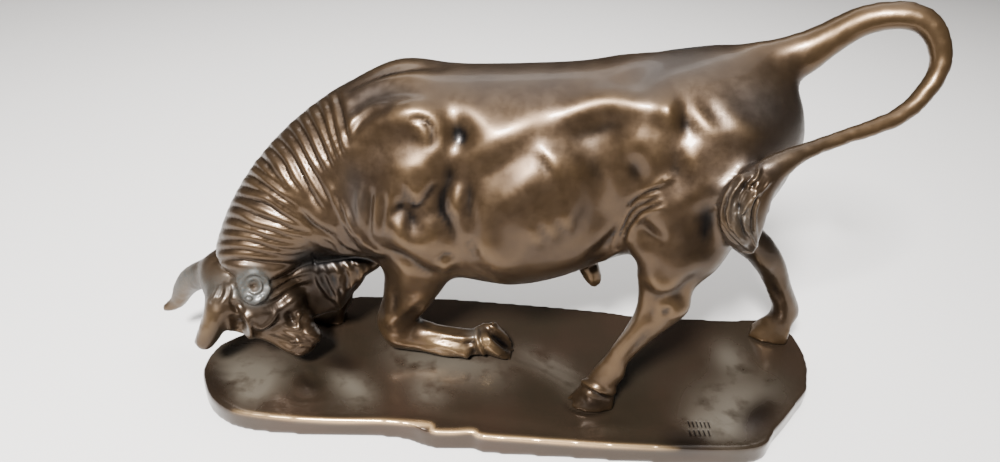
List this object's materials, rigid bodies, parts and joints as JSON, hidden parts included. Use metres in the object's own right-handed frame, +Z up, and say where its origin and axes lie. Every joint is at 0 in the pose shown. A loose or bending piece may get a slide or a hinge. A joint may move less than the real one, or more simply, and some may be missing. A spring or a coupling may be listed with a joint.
{
  "type": "bull ornament",
  "caption": "Bronze-finished cast bull with lowered head and looped tail, kneeling on one foreleg on a low uneven base.",
  "frame": {"origin": "centre of the base's underside", "axes": "+X along the base from the bull's head towards its tail, +Y away from the side that is turned to the viewer, +Z up"},
  "size_m": [0.4382, 0.1463, 0.2574],
  "materials": {
    "bronze": "golden-brown bronze patina, half gloss, darker in the hollows, dusty grey film on the upper sides",
    "dark_bronze": "dark chocolate-brown bronze patina, glossy, with greenish-grey patches"
  },
  "bodies": {
    "root": {"bull": "bronze", "base": "dark_bronze"}
  },
  "joints": []
}
